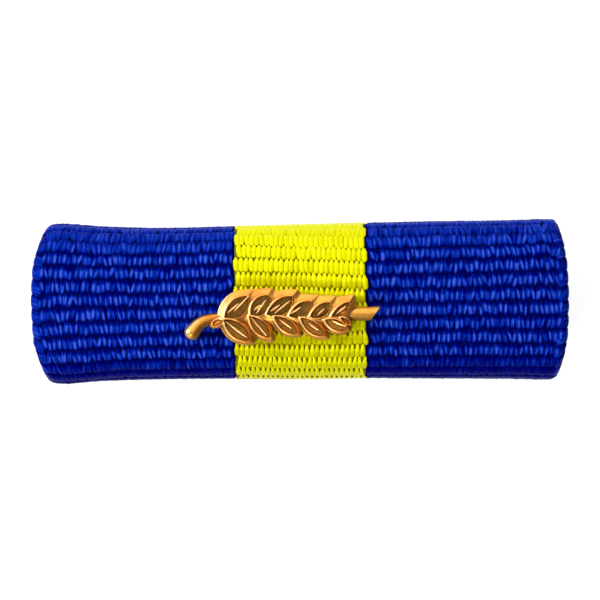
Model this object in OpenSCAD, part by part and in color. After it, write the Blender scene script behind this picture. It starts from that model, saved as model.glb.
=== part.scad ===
// Ribbon bar: a woven ribbed ribbon wrapped over a sheet-metal bar, with a cast leaf sprig on
// its front and a plain pin fitting on its back. It lies on its back: X runs along the bar,
// Y to its upper edge and Z out of its front, with the origin on the surface it rests on.

/* [Ribbon] */
// Length of the bar, which is the width that the ribbon is woven to
ribbon_length = 35; // [30:0.5:40]
// Height of the bar, over both folds, where it is neither waisted nor flared
ribbon_height = 10.1; // [9:0.1:13]
// Thickness of the ribbon over its ribs
ribbon_wall = 1; // [0.8:0.05:1.2]
// Outer radius of the fold between the front and the long edge
front_fold = 2.6; // [2.3:0.1:3]
// Outer radius of the fold between the long edge and the back
back_fold = 1.4; // [1.3:0.1:2]
// Length of each flat tail on the back
tail_length = 1.05; // [0.6:0.05:1.3]
// Distance from one rib to the next
rib_pitch = 0.89; // [0.7:0.01:1.2]
// Depth of the grooves between the ribs
rib_relief = 0.14; // [0.05:0.01:0.25]
// Width of the middle stripe
stripe_width = 8.75; // [4:0.25:16]
// How far the two ends bow in from their middle to the long edges
end_bow = 0.45; // [0:0.05:0.55]

/* [Mounting bar] */
// Thickness of the sheet metal
sheet = 0.6; // [0.5:0.05:0.7]
// How far the bar's ends stand back inside the ribbon
bar_setback = 1; // [0.8:0.1:2]
// Height of each lip along the open back
lip_height = 1.5; // [1:0.1:1.7]
// Radius of the bar's four corners seen from the front
bar_corner = 1; // [0.5:0.1:1.5]
// Clearance between the pieces
fit_gap = 0.05; // [0.03:0.01:0.08]

/* [Leaf sprig] */
// Length of the sprig from the stem's end to the tip
sprig_length = 12.9; // [10:0.1:15]
// Place of the sprig's middle along the bar
sprig_x = -1.24; // [-4:0.02:4]
// Place of the sprig's middle above the bar's middle
sprig_y = -0.9; // [-1:0.02:0.2]
// Height of the flanks that join the leaves
flank_rise = 0.58; // [0.3:0.02:0.58]
// Height of the sunk fields inside the leaves
field_rise = 0.7; // [0.6:0.02:0.8]
// Height of the raised rims round the leaves
rim_rise = 1.02; // [0.9:0.02:1.2]
// Width of the raised rims
rim_width = 0.15; // [0.1:0.01:0.2]
// Width of the raised midribs
midrib_width = 0.13; // [0.08:0.01:0.2]
// Thickness of the round stem
stem_d = 0.84; // [0.6:0.02:0.9]
// Thickness of the studs on the back
stud_d = 0.8; // [0.6:0.05:1]
// Clearance round each stud
stud_gap = 0.06; // [0.04:0.01:0.1]

/* [Brooch pin] */
// Length of the strip that carries the pin
strip_length = 29; // [22:0.5:30]
// Width of the strip
strip_width = 3; // [2.6:0.1:3.4]
// Thickness of the strip
strip_wall = 0.45; // [0.3:0.05:0.5]
// Distance from the hinge to the middle of the catch
pin_span = 25; // [18:0.5:26]
// Thickness of the needle
needle_d = 0.8; // [0.6:0.05:1]
// How far the pin fitting stands out behind the ribbon
stand_off = 2.2; // [2:0.1:3]
// Width of the hinge and the catch across the bar
foot_width = 2.6; // [2.2:0.1:3]
// Length of the hinge and the catch along the bar
foot_length = 2.2; // [1.6:0.1:3]
// Thickness of the hinge's ears and the catch's walls
foot_wall = 0.45; // [0.3:0.05:0.6]
// Clearance between the needle and the catch's floor
needle_lift = 0.2; // [0.1:0.05:0.4]

/* [Hidden] */

$fn = 48;
// Overlap that fuses two solids of one piece
weld = 0.02;

// Levels of the pieces above the surface the bar rests on
ribbon_back = stand_off;
ribbon_front = ribbon_back + front_fold + back_fold;
bar_back = ribbon_back + ribbon_wall + fit_gap;
bar_front = ribbon_front - ribbon_wall - fit_gap;
web_back = bar_front - sheet;
sprig_back = ribbon_front + fit_gap;
strip_front = web_back - fit_gap;
strip_back = strip_front - strip_wall;
needle_level = foot_wall + needle_lift + needle_d / 2;
// Rounding of the feet, a little under their wall
foot_corner = foot_wall * 0.9;

// Waist and flared ends of the bar. Columns: place as a share of half the length, then the
// upper and the lower half of the height as shares of half the height
WAIST = [
    [-1.00, 1.044, 1.044],
    [-0.90, 1.050, 1.058],
    [-0.78, 1.012, 1.026],
    [-0.66, 0.994, 1.012],
    [-0.56, 0.982, 1.008],
    [-0.42, 0.984, 1.004],
    [-0.26, 0.998, 1.006],
    [ 0.00, 1.012, 1.018],
    [ 0.30, 1.028, 1.014],
    [ 0.50, 1.038, 1.026],
    [ 0.66, 1.040, 1.032],
    [ 0.80, 1.044, 1.038],
    [ 0.92, 1.054, 1.052],
    [ 1.00, 1.050, 1.052]];

// The bar fits inside the narrowest part of the ribbon
waist_least = min([for (row = WAIST) min(row[1], row[2])]);
bar_length = ribbon_length - 2 * bar_setback;
bar_height = 2 * (waist_least * (ribbon_height / 2 - ribbon_wall) - fit_gap);

// Rounding of the outline at the ribbon's ends. Columns: end, then the corner's radius above
// and below as shares of the front fold's radius, and the end's bow as a share of end_bow
CORNERS = [
    [-1, 0.40, 0.42, 1.35],
    [ 1, 0.24, 0.34, 1.00]];

// Leaves of the sprig, the later ones lying over the earlier. Columns: the base's place, the
// tip's place, the bulge of the left and the right edge seen from the base, and the width of
// the flank round it that joins it to its neighbours, all as shares of the sprig's length
LEAVES = [
    [-0.293, -0.008, -0.160,  0.106, 0.040, 0.064, 0.027],
    [-0.162,  0.004, -0.060,  0.110, 0.038, 0.062, 0.029],
    [-0.083,  0.004,  0.064,  0.104, 0.034, 0.060, 0.028],
    [ 0.030, -0.005,  0.160,  0.076, 0.032, 0.052, 0.027],
    [ 0.134, -0.009,  0.254,  0.072, 0.028, 0.050, 0.026],
    [ 0.240, -0.009,  0.348,  0.074, 0.020, 0.044, 0.028],
    [ 0.288, -0.005,  0.354, -0.050, 0.020, 0.020, 0.004],
    [ 0.207, -0.020,  0.343, -0.073, 0.032, 0.038, 0.010],
    [ 0.086, -0.003,  0.230, -0.111, 0.034, 0.040, 0.010],
    [-0.045,  0.003,  0.093, -0.096, 0.038, 0.040, 0.011],
    [-0.170,  0.008, -0.047, -0.118, 0.040, 0.040, 0.014],
    [-0.298, -0.010, -0.146, -0.131, 0.046, 0.046, 0.013]];

// Start of the stem, the radius it bends at, and the ends of the spine and of the tip, all as
// shares of the sprig's length
STEM_START = [-0.298, -0.006];
STEM_BEND = 0.2;
SPINE_END = [0.330, 0.008];
TIP_END = [0.500, 0.023];
// Angle that the stem bends through, and the slant of the tip's end, in degrees
STEM_TURN = 47;
TIP_SLANT = 35;
// The small bud under the stem, with the first six columns of the leaves
BUD = [-0.285, -0.012, -0.357, -0.050, 0.016, 0.018];

// Thickness of the spine as a share of the stem's
SPINE_SHARE = 0.6;
// Part of each leaf's length that its midrib runs over
MIDRIB_SPAN = [0.14, 0.82];

// Places of the two studs as shares of the sprig's length
STUDS = [[-0.16, -0.01], [0.20, -0.01]];

// Length along the ribbon's outside from the middle of the front to the cut end of a tail
flat_length = ribbon_height / 2 - front_fold;
front_arc = front_fold * PI / 2;
back_arc = back_fold * PI / 2;
half_wrap = flat_length + front_arc + back_arc + tail_length;
ribs_each_way = round(half_wrap / rib_pitch);
pitch = half_wrap / ribs_each_way;

// Steps in which each rib and the ribbon's length are drawn
rib_steps = 4;
length_steps = 24;

// Point on the ribbon's section, at a place along its outside and a depth under its ribs
function half_section(along, depth) =
    let (
        past_flat = along - flat_length,
        past_front = past_flat - front_arc,
        past_back = past_front - back_arc,
        front_turn = past_flat / front_fold * 180 / PI,
        back_turn = past_front / back_fold * 180 / PI,
        centre_z = ribbon_front - front_fold,
        back_y = ribbon_height / 2 - back_fold)
    past_flat < 0 ? [along, ribbon_front - depth]
    : past_front < 0 ? [
        flat_length + (front_fold - depth) * sin(front_turn),
        centre_z + (front_fold - depth) * cos(front_turn)]
    : past_back < 0 ? [
        back_y + (back_fold - depth) * cos(back_turn),
        centre_z - (back_fold - depth) * sin(back_turn)]
    : [back_y - past_back, centre_z - back_fold + depth];

// The same for both halves, the lower one at places below nought
function section_point(along, depth) =
    let (point = half_section(abs(along), depth))
    [sign(along) * point[0], point[1]];

// Share of the half height at a place along the bar, above or below the middle
function waist_share(place, above) =
    lookup(place, [for (row = WAIST) [row[0], above ? row[1] : row[2]]]);

// How far the rounded corner draws the long edge in, at a place along the bar
function corner_drop(place, above) =
    let (
        corner = (place < 0 ? CORNERS[0] : CORNERS[1])[above ? 1 : 2] * front_fold,
        inside = max(0, corner - (1 - abs(place)) * ribbon_length / 2))
    corner - sqrt(corner * corner - inside * inside);

// A section point set out along the bar. The bow and the corners grow towards the long edges
function ribbon_point(along, depth, place) =
    let (
        point = section_point(along, depth),
        above = along > 0,
        crest = half_section(abs(along), 0)[0],
        edge_share = max(0, crest - flat_length) / front_fold,
        bow = end_bow * (place < 0 ? CORNERS[0] : CORNERS[1])[3]
            * pow(2 * crest / ribbon_height, 2))
    [
        place * (ribbon_length / 2 - bow),
        point[0] * waist_share(place, above)
            - sign(along) * edge_share * corner_drop(place, above),
        point[1]];

// Depth of a rib's outside, from nothing on its crest to the full relief in the groove
function rib_depth(step) = rib_relief * pow(cos(180 * step / rib_steps), 2);

// Points of one section: the ribbed outside, then the smooth inside
function ribbon_ring(place) = [
    for (rib = [-ribs_each_way : ribs_each_way - 1], step = [0 : rib_steps - 1])
        ribbon_point((rib + step / rib_steps) * pitch, rib_depth(step), place),
    ribbon_point(half_wrap, rib_relief, place),
    for (rib = [-ribs_each_way : ribs_each_way])
        ribbon_point(rib * pitch, ribbon_wall, place)];

// Place of a ring between two others, closer together near the ribbon's ends
function ring_place(from, to, share) = sin(asin(from) + (asin(to) - asin(from)) * share);

// One length of the ribbon between two places, closed at both ends
module ribbon_stretch(from, to, steps) {
    outer = 2 * ribs_each_way * rib_steps + 1;
    inner = 2 * ribs_each_way + 1;
    ring = outer + inner;
    points = [for (k = [0 : steps]) each ribbon_ring(ring_place(from, to, k / steps))];
    outside = [
        for (k = [0 : steps - 1], j = [0 : outer - 2])
            let (a = k * ring + j)
            each [[a, a + 1, a + ring], [a + 1, a + ring + 1, a + ring]]];
    inside = [
        for (k = [0 : steps - 1], j = [0 : inner - 2])
            let (a = k * ring + outer + j)
            each [[a, a + ring, a + 1], [a + 1, a + ring, a + ring + 1]]];
    cut_ends = [
        for (k = [0 : steps - 1])
            let (a = k * ring)
            each [
                [a, a + ring, a + outer],
                [a + outer, a + ring, a + ring + outer],
                [a + outer - 1, a + ring - 1, a + ring + outer - 1],
                [a + ring - 1, a + 2 * ring - 1, a + ring + outer - 1]]];
    selvedge = [
        for (rib = [0 : inner - 2])
            let (o = rib * rib_steps, i = outer + rib, mid = o + rib_steps / 2)
            each [
                for (step = [0 : rib_steps / 2 - 1]) [i, o + step + 1, o + step],
                [i, i + 1, mid],
                for (step = [rib_steps / 2 : rib_steps - 1]) [i + 1, o + step + 1, o + step]]];
    last = steps * ring;
    far_selvedge = [for (face = selvedge) [face[2] + last, face[1] + last, face[0] + last]];
    polyhedron(points, concat(outside, inside, cut_ends, selvedge, far_selvedge), 4);
}

module ribbon() {
    stripe = stripe_width / ribbon_length;
    stripe_steps = round(length_steps * stripe);
    side_steps = round((length_steps - stripe_steps) / 2);
    difference() {
        union() {
            color("mediumblue") ribbon_stretch(-1, -stripe, side_steps);
            color("yellow") ribbon_stretch(-stripe, stripe, stripe_steps);
            color("mediumblue") ribbon_stretch(stripe, 1, side_steps);
        }
        stud_holes(ribbon_front - ribbon_wall - fit_gap, ribbon_front + fit_gap);
    }
}

// What rounding a corner at the origin takes away, where the solid lies below and to the left
module corner_cut(radius) {
    translate([-radius, -radius])
        difference() {
            square(radius + sheet);
            circle(radius);
        }
}

// Section across the bar between two levels, with its front corners rounded
module bar_section(height, low, high, front_radius) {
    difference() {
        translate([-height / 2, low]) square([height, high - low]);
        for (side = [0, 1]) mirror([side, 0]) translate([height / 2, high]) corner_cut(front_radius);
    }
}

module mounting_bar() {
    back_radius = back_fold - ribbon_wall - fit_gap;
    front_radius = front_fold - ribbon_wall - fit_gap;
    opening = bar_height - 2 * lip_height;
    color("silver")
        difference() {
            rotate([90, 0, 90])
                linear_extrude(bar_length, center = true)
                    difference() {
                        bar_section(bar_height, bar_back, bar_front, front_radius);
                        bar_section(bar_height - 2 * sheet, bar_back + sheet, web_back,
                            front_radius - sheet);
                        translate([-opening / 2, bar_back - sheet])
                            square([opening, 2 * sheet + (web_back - bar_back - sheet) / 2]);
                        for (side = [0, 1])
                            mirror([side, 0])
                                translate([bar_height / 2, bar_back])
                                    mirror([0, 1]) corner_cut(back_radius);
                    }
            for (turn = [0, 180], side = [0, 1])
                rotate(turn)
                    mirror([0, side, 0])
                        translate([bar_length / 2, bar_height / 2, bar_back - sheet])
                            linear_extrude(bar_front - bar_back + 2 * sheet) corner_cut(bar_corner);
            stud_holes(web_back - fit_gap, bar_front + fit_gap);
        }
}

// Outline of a leaf between two arcs that meet at its base and its tip, grown all round
module leaf_outline(leaf, grow = 0) {
    base = [leaf[0], leaf[1]] * sprig_length;
    tip = [leaf[2], leaf[3]] * sprig_length;
    chord = norm(tip - base);
    left_bulge = leaf[4] * sprig_length;
    right_bulge = leaf[5] * sprig_length;
    left_radius = arc_radius(chord, left_bulge);
    right_radius = arc_radius(chord, right_bulge);
    translate((base + tip) / 2)
        rotate(atan2(tip[1] - base[1], tip[0] - base[0]))
            intersection() {
                translate([0, left_bulge - left_radius]) circle(left_radius + grow);
                translate([0, right_radius - right_bulge]) circle(right_radius + grow);
            }
}

// Radius of the arc over a chord
function arc_radius(chord, bulge) = (chord * chord / 4 + bulge * bulge) / (2 * bulge);

// A leaf's midrib, a thin spindle along the middle of its chord
function midrib(leaf) =
    let (
        base = [leaf[0], leaf[1]],
        tip = [leaf[2], leaf[3]],
        from = base + (tip - base) * MIDRIB_SPAN[0],
        to = base + (tip - base) * MIDRIB_SPAN[1],
        bulge = midrib_width / 2 / sprig_length)
    [from[0], from[1], to[0], to[1], bulge, bulge];

module leaf_layers() {
    last = len(LEAVES) - 1;
    linear_extrude(flank_rise) {
        for (leaf = LEAVES) leaf_outline(leaf, leaf[6] * sprig_length);
        leaf_outline(BUD);
    }
    linear_extrude(field_rise)
        for (leaf = LEAVES) leaf_outline(leaf);
    for (k = [0 : last]) {
        linear_extrude(rim_rise)
            difference() {
                leaf_outline(LEAVES[k]);
                leaf_outline(LEAVES[k], -rim_width);
                for (j = [k + 1 : 1 : last]) leaf_outline(LEAVES[j]);
            }
        linear_extrude((field_rise + rim_rise) / 2)
            difference() {
                leaf_outline(midrib(LEAVES[k]));
                for (j = [k + 1 : 1 : last]) leaf_outline(LEAVES[j]);
            }
    }
}

module leaf_sprig() {
    start = STEM_START * sprig_length;
    spine_end = SPINE_END * sprig_length;
    tip_end = TIP_END * sprig_length;
    bend = STEM_BEND * sprig_length;
    stem_z = stem_d / 2 + weld;
    spine_d = stem_d * SPINE_SHARE;
    color("peru")
        translate([sprig_x, sprig_y, sprig_back]) {
            leaf_layers();
            // Stem, bent down to a rounded end
            translate([start[0], start[1] - bend, 0])
                rotate(90) {
                    rotate_extrude(angle = STEM_TURN) translate([bend, stem_z]) circle(d = stem_d);
                    rotate(STEM_TURN) translate([bend, 0, stem_z]) sphere(d = stem_d);
                }
            // Spine under the leaves, then the tip with its slanted end
            rod(start, spine_end, spine_d, field_rise - spine_d / 2);
            difference() {
                rod(spine_end - [spine_d, 0], tip_end + [stem_d, 0], stem_d, stem_z);
                translate([tip_end[0], tip_end[1], -stem_d])
                    rotate(-TIP_SLANT)
                        translate([0, -2 * stem_d, 0]) cube(4 * stem_d);
            }
            for (stud = STUDS)
                translate([stud[0] * sprig_length, stud[1] * sprig_length, web_back - sprig_back + weld])
                    cylinder(h = sprig_back - web_back + flank_rise / 2, d = stud_d);
        }
}

// A round rod from one place to another at one level
module rod(from, to, thickness, level) {
    way = to - from;
    translate([from[0], from[1], level])
        rotate([0, 90, atan2(way[1], way[0])])
            cylinder(h = norm(way), d = thickness);
}

// One ear of the hinge, from the strip down to its flat foot
module ear() {
    rotate([90, 0, 0])
        linear_extrude(foot_wall, center = true)
            difference() {
                translate([-foot_length / 2, 0]) square([foot_length, strip_back + weld]);
                for (side = [0, 1])
                    mirror([side, 0])
                        translate([foot_length / 2, 0])
                            mirror([0, 1]) corner_cut(foot_corner);
            }
}

// The catch, a hook with a flat foot that is open towards the bar's lower edge
module catch_hook() {
    rotate([90, 0, 90])
        linear_extrude(foot_length, center = true)
            difference() {
                translate([-foot_width / 2, 0]) square([foot_width, strip_back + weld]);
                translate([-foot_width / 2 - foot_wall, needle_level + needle_d / 4])
                    square([foot_width, strip_back]);
                translate([-foot_width / 2 + foot_wall, foot_wall])
                    square([foot_width - 2 * foot_wall, strip_back]);
                for (side = [0, 1])
                    mirror([side, 0])
                        translate([foot_width / 2, 0])
                            mirror([0, 1]) corner_cut(foot_corner);
            }
}

module brooch_pin() {
    needle_end = pin_span / 2 + foot_length / 2 + needle_d / 2;
    point_length = 3 * needle_d;
    color("gainsboro") {
        // Strip with round ends
        translate([0, 0, strip_back])
            linear_extrude(strip_wall) {
                square([strip_length - strip_width, strip_width], center = true);
                for (side = [-1, 1])
                    translate([side * (strip_length - strip_width) / 2, 0])
                        circle(d = strip_width);
            }
        // Hinge: two ears and the barrel between them
        translate([-pin_span / 2, 0, 0]) {
            for (side = [-1, 1])
                translate([0, side * (foot_width - foot_wall) / 2, 0]) ear();
            translate([0, 0, needle_level])
                rotate([90, 0, 0])
                    cylinder(h = foot_width - foot_wall, d = 2 * needle_level - 2 * needle_lift,
                        center = true);
        }
        // Needle with its point past the catch
        translate([-pin_span / 2, 0, needle_level])
            rotate([0, 90, 0]) {
                cylinder(h = pin_span / 2 + needle_end - point_length, d = needle_d);
                translate([0, 0, pin_span / 2 + needle_end - point_length])
                    cylinder(h = point_length, d1 = needle_d, d2 = needle_d / 4);
            }
        translate([pin_span / 2, 0, 0]) catch_hook();
    }
}

// Holes for the sprig's studs between two levels
module stud_holes(low, high) {
    for (stud = STUDS) {
        translate([sprig_x + stud[0] * sprig_length, sprig_y + stud[1] * sprig_length, low])
            cylinder(h = high - low, d = stud_d + 2 * stud_gap);
    }
}

mounting_bar();
ribbon();
leaf_sprig();
brooch_pin();
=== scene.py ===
"""Looks of a ribbon bar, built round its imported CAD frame.

A ribbed, warp-faced ribbon in blue, yellow and blue is wrapped over a hidden sheet-steel
channel. A cast leaf sprig of gilt bronze lies on its front and a plain pin fitting on its back.
The bar lies on its back: X runs along it, Y to its upper edge and Z out of its front. Sizes are
named in millimetres, and every mesh is written in metres in the frame of the CAD part.
"""

import logging
import math
from dataclasses import dataclass
from enum import Enum

import bmesh
import bpy
import numpy as np
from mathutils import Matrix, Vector


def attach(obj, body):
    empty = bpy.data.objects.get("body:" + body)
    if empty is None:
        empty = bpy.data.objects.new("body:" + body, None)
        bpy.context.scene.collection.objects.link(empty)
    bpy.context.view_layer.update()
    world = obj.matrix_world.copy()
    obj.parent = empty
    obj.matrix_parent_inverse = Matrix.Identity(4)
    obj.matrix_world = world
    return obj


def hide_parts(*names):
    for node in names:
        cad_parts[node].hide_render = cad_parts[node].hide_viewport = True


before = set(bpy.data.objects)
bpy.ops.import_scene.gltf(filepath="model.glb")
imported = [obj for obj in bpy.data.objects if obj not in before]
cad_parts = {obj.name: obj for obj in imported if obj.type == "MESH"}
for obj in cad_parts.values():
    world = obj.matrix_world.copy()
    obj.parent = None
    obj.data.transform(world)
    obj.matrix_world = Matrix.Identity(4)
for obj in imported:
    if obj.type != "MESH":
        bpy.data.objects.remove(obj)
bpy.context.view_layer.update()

log = logging.getLogger("ribbon_bar")

MM = 0.001
ROOT = "root"
WHITE = "#FFFFFF"
Numbers = np.ndarray
Row = tuple[float, ...]
# Places and hex colours of a colour ramp
Stops = tuple[tuple[float, str], ...]


class Slot(Enum):
    """Material slots of the record."""

    BAR = "bar_steel"
    RIBBON = "ribbon_cloth"
    SPRIG = "sprig_bronze"
    PIN = "pin_nickel"


class Side(Enum):
    """Ends of the bar, with the sign of X there."""

    LEFT = -1
    RIGHT = 1


# Colours and nodes


def linear(code: str) -> tuple[float, float, float, float]:
    """Turns an sRGB hex colour to linear light.

    Args:
        code: Six hex digits, with or without a leading #.

    Returns:
        Red, green, blue and an alpha of 1.
    """
    digits = code.lstrip("#")
    shares = (int(digits[k : k + 2], 16) / 255 for k in (0, 2, 4))
    return (*(s / 12.92 if s <= 0.04045 else ((s + 0.055) / 1.055) ** 2.4 for s in shares), 1.0)


def add_node(
    tree: bpy.types.NodeTree,
    kind: str,
    settings: dict[str | int, object] | None = None,
    links: dict[str | int, bpy.types.NodeSocket] | None = None,
) -> bpy.types.Node:
    """Adds a node with its settings and links.

    Args:
        tree: The node tree.
        kind: The node's type, without its ShaderNode prefix.
        settings: Values of properties or, where none has the name, of inputs.
        links: Output sockets to join to inputs, by the input's name or number.

    Returns:
        The new node.
    """
    node = tree.nodes.new("ShaderNode" + kind)
    for key, value in (settings or {}).items():
        if isinstance(key, str) and hasattr(node, key):
            setattr(node, key, value)
        else:
            node.inputs[key].default_value = value
    for key, socket in (links or {}).items():
        tree.links.new(socket, node.inputs[key])
    return node


def new_material(name: str) -> tuple[bpy.types.Material, bpy.types.NodeTree]:
    """Makes an empty node material.

    Args:
        name: The material's name.

    Returns:
        The material and its cleared node tree.
    """
    material = bpy.data.materials.new(name)
    material.use_nodes = True
    material.node_tree.nodes.clear()
    return material, material.node_tree


def colour_ramp(node: bpy.types.Node, stops: Stops) -> None:
    """Sets the stops of a ramp node.

    Args:
        node: A Color Ramp node.
        stops: Place and hex colour of each stop.
    """
    elements = node.color_ramp.elements
    while len(elements) < len(stops):
        elements.new(1.0)
    for element, (place, code) in zip(elements, stops):
        element.position = place
        element.color = linear(code)


# Finishes


@dataclass(frozen=True)
class FilamentYarn:
    """Untwisted filament polyester, piece-dyed: a soft satin gloss along fine parallel fibres."""

    name: str
    # Places and colours from the painted shade where a float dives beside its fellows to the
    # painted highlight on the crest of its arch
    stops: Stops
    gloss: str
    shine: float
    # How far the fibres' streaks, a painted glint of their gloss, and the blots of the dye move a
    # place along the stops
    streak: float
    mottle: float = 0.16
    roughness: float = 0.34
    filament: float = 0.095  # mm between the fibres, drawn four times as coarse as they are
    relief: float = 0.014  # mm
    broken: float = 0.55  # breaks of the gloss along a fibre, per mm
    blots: float = 2.4  # per mm

    def build(self) -> bpy.types.Material:
        """Makes the yarn's material, which follows each float by its fibre attribute.

        Returns:
            The material.
        """
        material, tree = new_material(self.name)
        fibre = add_node(tree, "Attribute", {"attribute_name": "fibre"})
        tone = add_node(tree, "Attribute", {"attribute_name": "tone"})
        streak_at = add_node(
            tree,
            "Mapping",
            {"Scale": (1 / self.filament, self.broken, 1.0)},
            {"Vector": fibre.outputs["Vector"]},
        )
        streak = add_node(
            tree,
            "TexNoise",
            {"Scale": 1.0, "Detail": 2.0, "Roughness": 0.55},
            {"Vector": streak_at.outputs[0]},
        )
        mottle = add_node(
            tree,
            "TexNoise",
            {"Scale": self.blots, "Detail": 2.0},
            {"Vector": fibre.outputs["Vector"]},
        )
        # The noise keeps to the middle half of its range, which is stretched to the whole
        spread = add_node(tree, "MapRange", {1: 0.25, 2: 0.75}, {0: streak.outputs["Fac"]})
        lift = add_node(
            tree,
            "Math",
            {"operation": "MULTIPLY_ADD", 1: self.streak},
            {0: spread.outputs[0], 2: tone.outputs["Fac"]},
        )
        even = add_node(
            tree,
            "Math",
            {"operation": "MULTIPLY_ADD", 1: self.mottle},
            {0: mottle.outputs["Fac"], 2: lift.outputs[0]},
        )
        # The ramp paints each float's shade and highlight from its tone attribute
        ramp = add_node(tree, "ValToRGB", {}, {"Fac": even.outputs[0]})
        colour_ramp(ramp, self.stops)
        bump = add_node(
            tree,
            "Bump",
            {"Strength": 1.0, "Distance": self.relief * MM},
            {"Height": streak.outputs["Fac"]},
        )
        shader = add_node(
            tree,
            "BsdfPrincipled",
            {
                "Roughness": self.roughness,
                "Specular IOR Level": self.shine,
                "Specular Tint": linear(self.gloss),
            },
            {"Base Color": ramp.outputs["Color"], "Normal": bump.outputs["Normal"]},
        )
        add_node(tree, "OutputMaterial", {}, {"Surface": shader.outputs[0]})
        return material


@dataclass(frozen=True)
class GroundWeave:
    """The weft cords and dived yarn under the floats: matt cloth of the stripe above, painted
    darker as the shade in the gaps.
    """

    name: str = "polyester_ground_weave"
    # Both colours are painted darker than the floats' dye, as the shade in the gaps
    edge: str = "#000048"
    middle: str = "#8A8400"
    grain: float = 0.2  # mm between the weft cord's twisted plies
    relief: float = 0.03  # mm
    roughness: float = 0.85
    shine: float = 0.04

    def build(self, stripe: float) -> bpy.types.Material:
        """Makes the ground's material.

        Args:
            stripe: Width of the middle stripe, in millimetres.

        Returns:
            The material.
        """
        material, tree = new_material(self.name)
        place = add_node(tree, "TexCoord")
        parts = add_node(tree, "SeparateXYZ", {}, {0: place.outputs["Object"]})
        inside = add_node(
            tree,
            "Math",
            {"operation": "COMPARE", 1: 0.0, 2: stripe / 2 * MM},
            {0: parts.outputs[0]},
        )
        ply = add_node(
            tree,
            "TexNoise",
            {"Scale": 1 / (self.grain * MM), "Detail": 3.0},
            {"Vector": place.outputs["Object"]},
        )
        # The ground's colour, painted darker than the floats' as shade
        dyed = add_node(
            tree,
            "Mix",
            {"data_type": "RGBA", 6: linear(self.edge), 7: linear(self.middle)},
            {0: inside.outputs[0]},
        )
        # The plies are darker and brighter than the dye by these shares
        mix_share = add_node(tree, "MapRange", {3: 0.6, 4: 1.2}, {0: ply.outputs["Fac"]})
        shaded = add_node(
            tree,
            "Mix",
            {"data_type": "RGBA", "blend_type": "MULTIPLY", 0: 1.0},
            {6: dyed.outputs[2], 7: mix_share.outputs[0]},
        )
        bump = add_node(
            tree,
            "Bump",
            {"Strength": 1.0, "Distance": self.relief * MM},
            {"Height": ply.outputs["Fac"]},
        )
        shader = add_node(
            tree,
            "BsdfPrincipled",
            {"Roughness": self.roughness, "Specular IOR Level": self.shine},
            {"Base Color": shaded.outputs[2], "Normal": bump.outputs[0]},
        )
        add_node(tree, "OutputMaterial", {}, {"Surface": shader.outputs[0]})
        return material


@dataclass(frozen=True)
class CastGilt:
    """Cast bronze, gilt and hand polished: warm gloss on rims, brown patina in sunk fields, pale
    painted highlights and painted shade.
    """

    name: str = "gilt_cast_bronze"
    polished: str = "#E6A044"
    copper: str = "#CC7C34"
    # Colour of the painted highlights
    painted_highlight_colour: str = "#FFDE98"
    # Colour of the patina, also used for painted shade
    patina_and_painted_light: str = "#785A26"
    roughness: float = 0.36
    dulled: float = 0.25  # how much rougher the patina is
    pitting: float = 0.35  # mm between the cast skin's soft hollows
    relief: float = 0.012  # mm
    blots: float = 0.8  # of copper in the gilt, per mm
    veil: float = 0.5  # how far the hollows shift the patina

    def build(self) -> bpy.types.Material:
        """Makes the sprig's material: its attribute is 1 in patina and painted shade, and under 0
        in painted highlights.

        Returns:
            The material.
        """
        material, tree = new_material(self.name)
        place = add_node(tree, "TexCoord")
        # The attribute carries patina and painted shade above nought and painted highlights below
        # it
        sunk = add_node(tree, "Attribute", {"attribute_name": "patina_and_painted_light"})
        skin = add_node(
            tree,
            "TexNoise",
            {"Scale": 1 / (self.pitting * MM), "Detail": 4.0, "Roughness": 0.6},
            {"Vector": place.outputs["Object"]},
        )
        blot = add_node(
            tree,
            "TexNoise",
            {"Scale": self.blots / MM, "Detail": 2.0},
            {"Vector": place.outputs["Object"]},
        )
        tint = add_node(tree, "ValToRGB", {}, {"Fac": blot.outputs["Fac"]})
        colour_ramp(tint, ((0.3, self.copper), (0.52, self.polished)))
        veil = add_node(
            tree,
            "Math",
            {"operation": "MULTIPLY_ADD", 1: self.veil, 2: -self.veil / 2},
            {0: skin.outputs["Fac"]},
        )
        depth = add_node(
            tree,
            "Math",
            {"operation": "ADD", "use_clamp": True},
            {0: sunk.outputs["Fac"], 1: veil.outputs[0]},
        )
        # The painted highlight's share, where the attribute is under nought
        mix_share = add_node(
            tree,
            "Math",
            {"operation": "MULTIPLY", 1: -1.0, "use_clamp": True},
            {0: sunk.outputs["Fac"]},
        )
        pale = add_node(
            tree,
            "Mix",
            {"data_type": "RGBA", 7: linear(self.painted_highlight_colour)},
            {0: mix_share.outputs[0], 6: tint.outputs["Color"]},
        )
        colour = add_node(
            tree,
            "Mix",
            {"data_type": "RGBA", 7: linear(self.patina_and_painted_light)},
            {0: depth.outputs[0], 6: pale.outputs[2]},
        )
        rough = add_node(
            tree,
            "MapRange",
            {3: self.roughness, 4: self.roughness + self.dulled},
            {0: depth.outputs[0]},
        )
        bump = add_node(
            tree,
            "Bump",
            {"Strength": 0.6, "Distance": self.relief * MM},
            {"Height": skin.outputs["Fac"]},
        )
        shader = add_node(
            tree,
            "BsdfPrincipled",
            {"Metallic": 1.0},
            {
                "Base Color": colour.outputs[2],
                "Roughness": rough.outputs[0],
                "Normal": bump.outputs[0],
            },
        )
        add_node(tree, "OutputMaterial", {}, {"Surface": shader.outputs[0]})
        return material


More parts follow.
